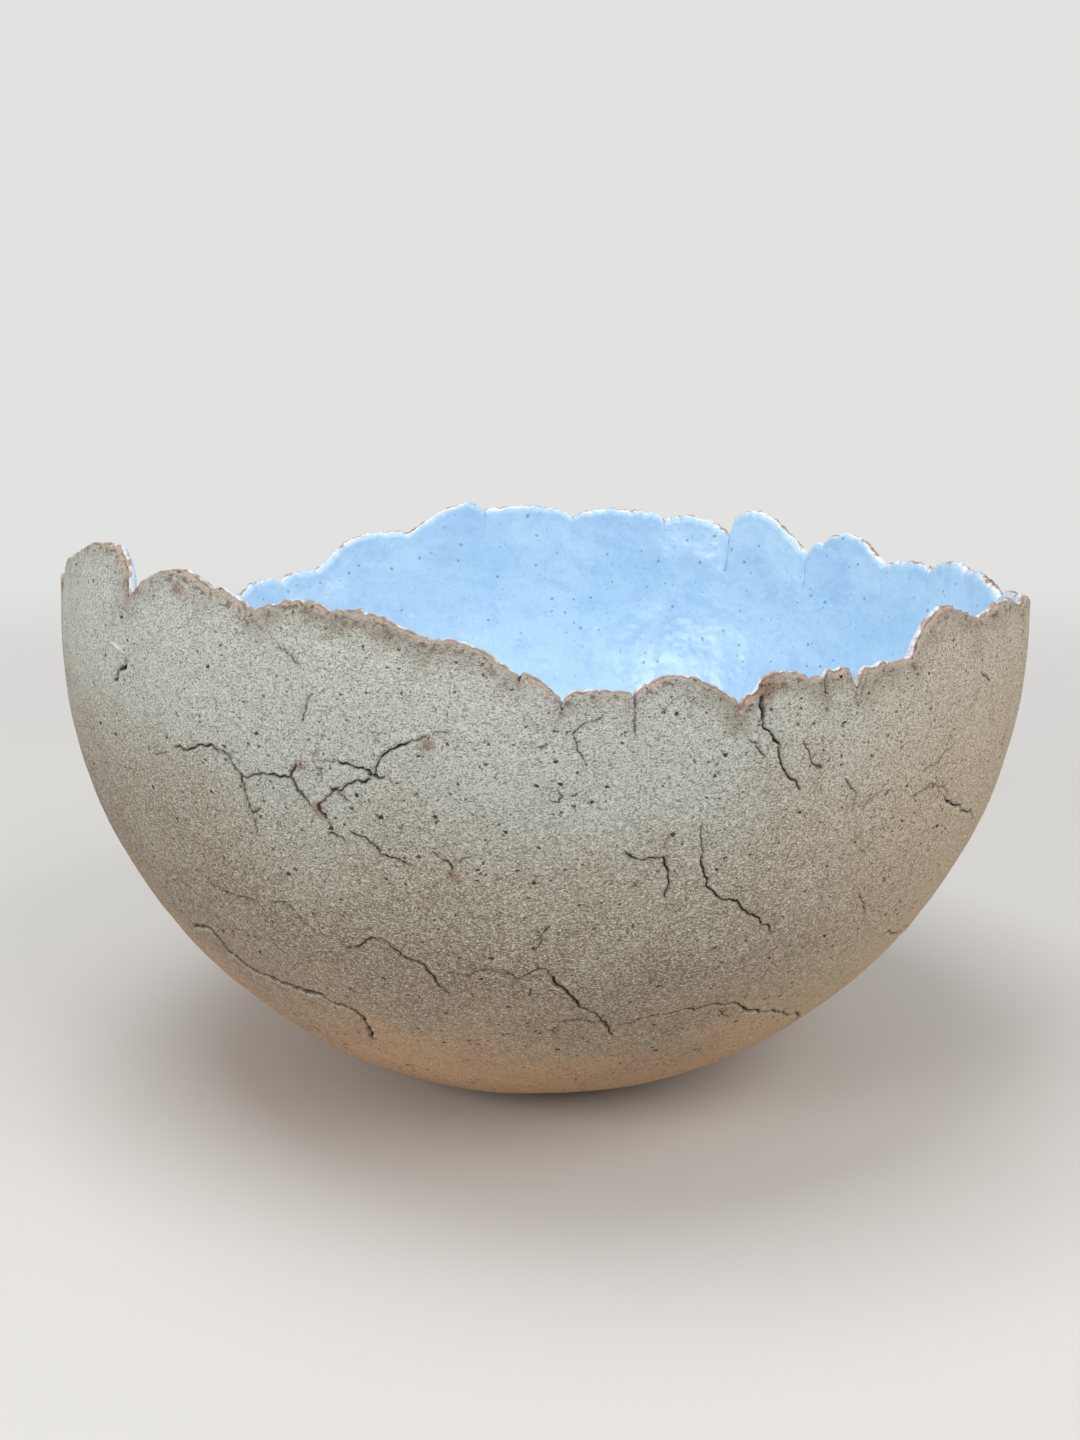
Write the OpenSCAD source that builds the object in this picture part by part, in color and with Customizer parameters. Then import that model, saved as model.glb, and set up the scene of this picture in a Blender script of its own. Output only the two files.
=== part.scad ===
// Cracked bowl: a hand-built stoneware hemisphere with a torn rim.
// Origin at the centre of the flat foot, +Z up. The front of the bowl faces -Y.

/* [Body] */
// Radius of the outside of the shell
outer_r = 125; // [100:1:160]
// Thickness of the wall
wall = 4.6; // [3.5:0.1:7]
// Radius of the flat foot that the bowl stands on
foot_r = 34; // [20:1:44]
// Thickness of the clay over the foot
base_t = 6.5; // [5:0.5:9]

/* [Torn rim] */
// Mean height of the torn rim above the foot
rim_h = 127.5; // [105:0.5:138]
// How much of the full depth the tears have
tear_scale = 1; // [0.5:0.05:1.1]
// Angle between one step along the rim and the next
rim_step = 1; // [0.5:0.5:2]

/* [Cracks] */
// Width of the cracks at the surface
crack_w = 1.2; // [0.8:0.1:2]
// Depth of the cracks
crack_d = 0.9; // [0.5:0.1:1.6]

/* [Hidden] */

round_fn = 96;
// The centre of the sphere stands over the foot, which is cut flat.
centre_z = sqrt(pow(outer_r, 2) - pow(foot_r, 2));
inner_r = outer_r - wall;
// The shell starts this much higher than its mean rim, above every crown, and is then torn.
spare_h = 30;
// The cut for the tears runs this far past the shell, outwards and upwards.
cut_over = 12;
// A crack's ends are this share of its full width and depth.
end_share = 0.3;

// Each lobe of the rim runs from one tear to the next: the angle of its tear, how far that
// tear's end and the lobe's crown stand from the mean height, how far along the crown lies
// (0 to 1), and how steep the climb to it and the fall from it are (lower is steeper at the
// tear). Angles run round from +X, as seen from above.
LOBES = [
    [0, -2.5, 3.2, 0.8, 0.6, 0.6],
    [11.5, 3, 5, 0.4, 0.6, 0.6],
    [20, 1.4, 2.8, 0.4, 0.5, 0.6],
    [30, 0.2, 9.6, 0.65, 0.9, 0.6],
    [41.5, 5.8, 6, 0.2, 0.6, 1],
    [45, 1, 14.7, 0.7, 1.2, 0.3],
    [59, 4.8, 12, 0.7, 0.6, 0.8],
    [70, 10.3, 13.8, 0.6, 0.5, 0.4],
    [85, 10.5, 14.8, 0.6, 0.5, 0.5],
    [99.5, 12.6, 15.6, 0.25, 0.5, 1.1],
    [112, 6.2, 6.4, 0.4, 0.6, 1.2],
    [128, -5, -5.2, 0.5, 0.6, 0.5],
    [134.3, -8.4, -6.9, 0.35, 0.6, 1],
    [143, -11.5, -9.5, 0.5, 0.6, 0.6],
    [153, -12, -8, 0.6, 0.6, 0.6],
    [165, -9, -4, 0.6, 0.6, 0.6],
    [176, -5, 2, 0.7, 0.7, 0.6],
    [187, 1, 9, 0.8, 1, 0.6],
    [196, 8, 15.6, 0.85, 0.8, 0.5],
    [205, 15, 21, 0.75, 0.8, 0.5],
    [223.5, 10.5, 17.4, 0.6, 0.8, 0.8],
    [236.3, 14.4, 14.6, 0.2, 0.6, 1.2],
    [241.5, 10.4, 13.6, 0.75, 1, 0.6],
    [249.8, 11.5, 12.1, 0.2, 0.6, 1.2],
    [259.5, 6.9, 7.2, 0.2, 0.6, 1],
    [267.3, 0.7, 0.8, 0.15, 0.6, 1.1],
    [271.6, -4.2, -2.4, 0.25, 0.5, 0.5],
    [277.9, -3.4, -0.1, 0.42, 0.6, 1.1],
    [287.8, -5.8, -4.6, 0.8, 0.6, 0.6],
    [289.2, -4.2, -0.1, 0.35, 0.4, 1],
    [296.4, -3.9, -0.9, 0.65, 0.7, 0.3],
    [300.2, -5.4, -0.5, 0.5, 0.25, 0.5],
    [307.4, -0.3, 9, 0.42, 0.8, 0.9],
    [320, 4.2, 6.5, 0.65, 0.9, 0.8],
    [335, 4.6, 5, 0.3, 0.6, 1],
    [346, 1, 2.5, 0.35, 0.6, 0.8]
];

// Each crack is a route over the outside: for each of its bends, the angle round the bowl
// and the angle above the widest part of the shell.
CRACKS = [
    [[231, -5.5], [233.5, -5.5], [237, -4.5], [239, -6], [240.2, -8], [240.3, -10], [240.5, -13]],
    [[240.2, -7.5], [243.3, -6.8], [245.8, -7], [247, -8], [248.3, -9.5], [249.5, -11]],
    [[249.5, -8], [252.3, -6.7], [254.4, -5.8], [255.4, -4], [257.4, -3], [259.5, -2]],
    [[220, -30], [224.5, -29], [226, -31], [229, -33.5], [235, -34.5], [240.5, -34.5],
        [243.5, -35.5], [245.5, -38], [244.7, -42.5]],
    [[247.7, -25.5], [250, -24.8], [252, -24], [255.5, -26.3], [258.5, -29.3], [260, -31]],
    [[265.8, -27], [267.2, -28.2], [269.2, -27], [270.8, -27.6], [273.5, -31.8], [275, -34],
        [277.5, -35.8], [279, -38]],
    [[280, -36.5], [281.5, -35.7], [286.5, -34.2], [294, -34.5], [298.3, -37], [304, -40],
        [312, -43.5]],
    [[284.7, -12], [285.3, -15], [286, -17.5], [288, -19], [290, -20], [292.7, -21.8],
        [294.7, -24]],
    [[277.6, -13], [279, -13.8], [281, -14], [282, -16], [282, -18]],
    [[289.8, -0.5], [290.7, -2], [292, -3.7], [292.2, -5.5], [294.6, -8.2]],
    [[316.5, -12.3], [322, -14.5], [327, -18]]
];

// How far the rim stands from its mean height, a share t of the way along lobe i
function rise(t, steepness) = pow(sin(90 * t), steepness);
function lobe_end(i) = i + 1 < len(LOBES) ? LOBES[i + 1] : [LOBES[0][0] + 360, LOBES[0][1]];
function lobe_offset(i, t) =
    let(lobe = LOBES[i], next = lobe_end(i), crown = lobe[2], at = lobe[3])
    t < at
        ? lobe[1] + (crown - lobe[1]) * rise(t / at, lobe[4])
        : next[1] + (crown - next[1]) * rise((1 - t) / (1 - at), lobe[5]);
function lobe_steps(i) = max(2, ceil((lobe_end(i)[0] - LOBES[i][0]) / rim_step));
RIM = [
    for (i = [0 : len(LOBES) - 1])
        let(from = LOBES[i][0], to = lobe_end(i)[0], steps = lobe_steps(i))
        for (k = [0 : steps - 1])
            [from + (to - from) * k / steps, rim_h + tear_scale * lobe_offset(i, k / steps)]
];

// Everything above the rim's edge, as a ring whose underside follows the tears
module over_rim() {
    n = len(RIM);
    in_r = inner_r / 2;
    out_r = outer_r + cut_over;
    top = rim_h + spare_h + cut_over;
    corners = [[in_r, 0], [out_r, 0], [out_r, 1], [in_r, 1]];
    points = [
        for (step = RIM)
            for (c = corners)
                [c[0] * cos(step[0]), c[0] * sin(step[0]), c[1] == 1 ? top : step[1]]
    ];
    faces = [
        for (i = [0 : n - 1])
            let(a = 4 * i, b = 4 * ((i + 1) % n))
            for (s = [0 : 3])
                let(t = (s + 1) % 4)
                for (face = [[a + s, a + t, b + t], [a + s, b + t, b + s]])
                    face
    ];
    polyhedron(points = points, faces = faces);
}

// The way straight out of the shell at a pair of angles, and a vector made one long
function out_of(at) = [cos(at[0]) * cos(at[1]), sin(at[0]) * cos(at[1]), sin(at[1])];
function unit(v) = v / norm(v);

// One crack: a V-shaped groove along its route, narrowing to both ends
module crack(route) {
    last = len(route) - 1;
    points = [
        for (i = [0 : last])
            let(
                share = i == 0 || i == last ? end_share : 1,
                out = out_of(route[i]),
                along = out_of(route[min(i + 1, last)]) - out_of(route[max(i - 1, 0)]),
                side = share * crack_w * unit(cross(along, out)),
                deep = share * crack_d,
                here = [0, 0, centre_z] + outer_r * out
            )
            for (p = [here - deep * out, here + crack_d * out + side, here + crack_d * out - side])
                p
    ];
    sides = [
        for (i = [0 : last - 1])
            for (s = [0 : 2])
                let(a = 3 * i + s, b = 3 * i + (s + 1) % 3)
                for (face = [[a, b, b + 3], [a, b + 3, a + 3]])
                    face
    ];
    ends = [[0, 2, 1], [3 * last, 3 * last + 1, 3 * last + 2]];
    polyhedron(points = points, faces = concat(sides, ends));
}

// The shell's outside, cut flat at the foot and above the rim
module blank() {
    intersection() {
        translate([0, 0, centre_z])
            sphere(r = outer_r, $fn = round_fn);
        translate([-outer_r, -outer_r, 0])
            cube([2 * outer_r, 2 * outer_r, rim_h + spare_h]);
    }
}

// The hollow: a smaller sphere about the same centre, with a flat floor over the foot
module hollow() {
    difference() {
        translate([0, 0, centre_z])
            sphere(r = inner_r, $fn = round_fn);
        translate([-outer_r, -outer_r, base_t - outer_r])
            cube([2 * outer_r, 2 * outer_r, outer_r]);
    }
}

module bowl() {
    color("#ACA38F")
        difference() {
            blank();
            hollow();
            over_rim();
            for (route = CRACKS)
                crack(route);
        }
}

bowl();
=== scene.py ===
import math
import random

import bmesh
import bpy
import numpy as np
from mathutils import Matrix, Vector, noise
from mathutils.bvhtree import BVHTree
from mathutils.kdtree import KDTree


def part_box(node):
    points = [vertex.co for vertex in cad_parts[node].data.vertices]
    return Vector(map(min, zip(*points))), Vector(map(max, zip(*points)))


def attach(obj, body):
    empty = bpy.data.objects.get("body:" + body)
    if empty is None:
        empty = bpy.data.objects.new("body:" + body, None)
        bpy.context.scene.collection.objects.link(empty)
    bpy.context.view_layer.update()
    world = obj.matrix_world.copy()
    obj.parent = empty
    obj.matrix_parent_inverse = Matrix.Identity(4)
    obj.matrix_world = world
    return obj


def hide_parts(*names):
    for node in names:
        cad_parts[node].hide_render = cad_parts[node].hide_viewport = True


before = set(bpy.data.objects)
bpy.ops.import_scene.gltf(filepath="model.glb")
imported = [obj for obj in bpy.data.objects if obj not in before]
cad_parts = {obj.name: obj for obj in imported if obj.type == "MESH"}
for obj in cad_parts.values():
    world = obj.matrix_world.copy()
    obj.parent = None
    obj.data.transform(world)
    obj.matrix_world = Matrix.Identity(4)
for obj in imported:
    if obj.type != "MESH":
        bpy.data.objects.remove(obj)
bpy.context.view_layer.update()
mm = 0.001

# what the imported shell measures
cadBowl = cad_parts["bowl"]
bowlLow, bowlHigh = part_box("bowl")
shellTree = BVHTree.FromPolygons(
    [v.co.copy() for v in cadBowl.data.vertices],
    [tuple(p.vertices) for p in cadBowl.data.polygons],
)


def rayLengths(start, ways):
    hits = [shellTree.ray_cast(start, way.normalized()) for way in ways]
    return [hit[3] for hit in hits if hit[0] is not None]


probeSet = {
    "footSlack": 0.05,  # mm above the ground that still count as the foot
    "rays": (0.31, 6.2, 0.47),  # first angle, last angle and step of the rays
    "wallTilt": -0.37,  # how far the rays to the wall point down
    "floorTilt": 0.03,  # and those to the floor aside
}


def measureShell(s):
    # a sphere cut flat at the foot, with an even wall and a flat floor inside
    outerR = (bowlHigh[1] - bowlLow[1]) / 2
    low = [v.co for v in cadBowl.data.vertices if v.co.z < s["footSlack"] * mm]
    footR = max(math.hypot(co.x, co.y) for co in low)
    centreZ = math.sqrt(outerR**2 - footR**2)
    start = Vector((0, 0, centreZ))
    ways = [(math.cos(a), math.sin(a)) for a in np.arange(*s["rays"])]
    around = [Vector((x, y, s["wallTilt"])) for x, y in ways]
    down = [Vector((s["floorTilt"] * x, s["floorTilt"] * y, -1)) for x, y in ways]
    innerR = float(np.median(rayLengths(start, around)))
    floorZ = centreZ - float(np.median(rayLengths(start, down))) / math.hypot(s["floorTilt"], 1)
    return outerR, footR, centreZ, innerR, floorZ


outerR, footR, centreZ, innerR, floorZ = measureShell(probeSet)
wall = outerR - innerR
centre = np.array([0, 0, centreZ])
middle = Vector(centre)
print("shell", [round(v / mm, 2) for v in (outerR, footR, centreZ, innerR, floorZ, wall)])


def outOf(points):
    # the way straight out of the shell at each point
    away = points - centre
    return away / np.linalg.norm(away, axis=1)[:, None]


def addObject(name, data):
    made = bpy.data.objects.new(name, data)
    bpy.context.scene.collection.objects.link(made)
    return made


def aim(thing, way):
    thing.rotation_mode = "QUATERNION"
    thing.rotation_quaternion = way.to_track_quat("-Z", "Y")


# camera
cameraSet = {
    "elevation": 8.5,  # degrees, of the line of sight to the shell's centre
    "distance": 3.269,  # in outer radii, from the shell's centre
    "lens": 37.5,
    "sensor": 36.0,
    "frameHigh": 1440.0,  # steps in the frame's height
    "aimRight": 3.5,  # the shell's centre falls this many steps right of the middle
    "aimUp": 100.0,  # and this many above it
    "clip": (0.01, 50),
}


def makeCamera(s):
    data = bpy.data.cameras.new("camera")
    data.lens, data.sensor_width = s["lens"], s["sensor"]
    data.clip_start, data.clip_end = s["clip"]
    camera = addObject("camera", data)
    focal = s["lens"] / s["sensor"] * s["frameHigh"]
    pitch = math.radians(s["elevation"]) + math.atan2(s["aimUp"], focal)
    forward = Vector((0, math.cos(pitch), -math.sin(pitch)))
    up = Vector((0, math.sin(pitch), math.cos(pitch)))
    toCentre = (forward * focal + up * s["aimUp"] + Vector((s["aimRight"], 0, 0))).normalized()
    camera.location = middle - toCentre * s["distance"] * outerR
    aim(camera, forward)
    bpy.context.scene.camera = camera


makeCamera(cameraSet)
bpy.context.scene.view_settings.view_transform = "Standard"
print("camera ready")


# the torn rim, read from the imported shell
rimSet = {
    "samples": 3600,  # round the bowl
    "tearNear": 12,  # a tear is lower than this many samples on each side
    "tearRise": 0.35,  # and the edge goes up again by this many mm
    "ragged": ((0.55, 6.0, 11.0), (0.4, 2.2, 23.0), (0.22, 0.9, 31.0)),  # height, wavelength in mm, seed
    "slitDepth": (0.4, 1.9),  # each tear ends in a slit, in mm
    "slitHalf": 0.55,
    "slitCurve": 0.7,
    # narrow nicks in the front edge: angle round the bowl, depth and half width in mm
    "nicks": ((208.3, 2.2, 0.5), (224.1, 1.0, 0.5), (230.2, 0.7, 0.4), (236.4, 1.2, 0.6), (240.6, 0.5, 0.4),
              (247.2, 0.7, 0.4), (251.4, 0.6, 0.4), (259.4, 0.5, 0.4), (267.7, 1.6, 0.5), (271.4, 1.2, 0.5),
              (274.8, 0.6, 0.4), (277.9, 1.6, 0.35), (287.8, 1.2, 0.8), (296.5, 2.2, 1.0), (300.3, 3.6, 1.4),
              (304, 0.8, 0.4), (307.5, 0.9, 0.4), (319.9, 3.2, 0.9), (326.7, 1.2, 0.4), (332.3, 1.2, 0.5)),
    "closed": ((296.4, 1.5), (300.2, 1.6)),  # tears that are narrow slits: angle, and how far round to fill
    "lean": 0.75,  # mm a lobe may lean in or out at its edge
    "leanReach": 8.0,  # and how far down the lean is felt
    "leanBlend": 9,  # samples over which one lean turns into the next
    # leans that are listed: angle within the lobe, and mm
    "leanAt": ((293, 0.5), (298, -0.5), (304, 0.4), (313, 0.5), (327, -0.8), (283, -0.4), (275, 0.3)),
    "seed": 5,
}
rimStep = 2 * math.pi / rimSet["samples"]
rimAngles = np.arange(rimSet["samples"]) * rimStep


def ringNoise(wavelength, seed):
    # noise round the rim that closes on itself; wavelength in mm
    r = outerR / (wavelength * mm)
    return np.array([noise.noise(Vector((r * math.cos(a), r * math.sin(a), seed))) for a in rimAngles])


def ringLookup(table):
    n = len(table)
    closed = np.append(table, table[0])
    return lambda az: np.interp((np.asarray(az) / (2 * math.pi) % 1.0) * n, np.arange(n + 1), closed)


def ringBends(bends):
    # a smooth run through given values, each at an angle round the bowl in degrees
    at, value = zip(*bends)
    return np.interp(np.degrees(rimAngles), at, value, period=360)


def varied(rows):
    # the sum of several runs of noise round the rim, each with its size, wavelength and seed
    return sum(size * ringNoise(wavelength, seed) for size, wavelength, seed in rows)


def readRim():
    midR = outerR - wall / 2
    heights = []
    for a in rimAngles + rimStep / 3:
        z0 = bowlHigh[2] - centreZ
        for _ in range(3):  # the wall leans in above its widest part, so the ray follows it
            r = math.sqrt(max(midR**2 - z0**2, 0))
            above = Vector((r * math.cos(a), r * math.sin(a), bowlHigh[2] + 10 * mm))
            hit = shellTree.ray_cast(above, Vector((0, 0, -1)))
            if hit[0] is not None:
                z0 = hit[0].z - centreZ
        heights.append(z0 + centreZ)
    return np.array(heights)


def findTears(heights):
    # the places where the edge comes down on one side and goes up again on the other
    near, rise = rimSet["tearNear"], rimSet["tearRise"] * mm
    tears = []
    for i in range(len(heights)):
        left = np.take(heights, range(i - 2 * near, i), mode="wrap")
        right = np.take(heights, range(i + 1, i + 2 * near), mode="wrap")
        lowest = heights[i] < left[-near:].min() and heights[i] <= right[:near].min()
        if lowest and min(left.max(), right.max()) - heights[i] > rise:
            tears.append(i)
    return tears


def fromTear(i):
    # distance of every rim sample from a tear, in mm
    gap = np.abs(np.arange(rimSet["samples"]) - i)
    return np.minimum(gap, rimSet["samples"] - gap) * rimStep * outerR / mm


def tearRim(heights, tears, s):
    chance = random.Random(s["seed"])
    degrees = np.degrees(rimAngles)
    for angle, reach in s["closed"]:
        ends = [angle - reach, angle + reach]
        bridge = np.interp(degrees, ends, np.interp(ends, degrees, heights))
        heights = np.where(np.abs(degrees - angle) < reach, np.maximum(heights, bridge), heights)
    slits = [(i, chance.uniform(*s["slitDepth"]), s["slitHalf"]) for i in tears]
    slits += [(math.radians(angle) / rimStep, depth, half) for angle, depth, half in s["nicks"]]
    for i, depth, half in slits:
        heights = heights - depth * mm * np.clip(1 - fromTear(i) / half, 0, 1) ** s["slitCurve"]
    leans = np.zeros(len(heights))
    for i, j in zip(tears, tears[1:] + [tears[0] + len(heights)]):
        lean = chance.uniform(-1, 1) * s["lean"]
        for angle, chosen in s["leanAt"]:
            if i < math.radians(angle) / rimStep < j:
                lean = chosen
        leans[np.arange(i, j) % len(heights)] = lean * mm
    soft = np.hanning(s["leanBlend"])
    reach = s["leanBlend"] // 2
    around = np.concatenate([leans[-reach:], leans, leans[:reach]])
    leans = np.convolve(around, soft / soft.sum(), "valid")
    for size, wavelength, seed in s["ragged"]:
        scallops = np.abs(ringNoise(wavelength, seed))  # round on top, sharp between
        heights = heights + 2 * size * mm * (scallops - scallops.mean())
    return heights, leans


rimTable = readRim()
rimTears = findTears(rimTable)
rimTable, leanTable = tearRim(rimTable, rimTears, rimSet)
rimHeight, rimLean = ringLookup(rimTable), ringLookup(leanTable)
rimLat = np.arcsin((rimTable - centreZ) / outerR)
print("rim", [round(h / mm, 1) for h in (rimTable.min(), rimTable.max())], "tears", len(rimTears))

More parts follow.
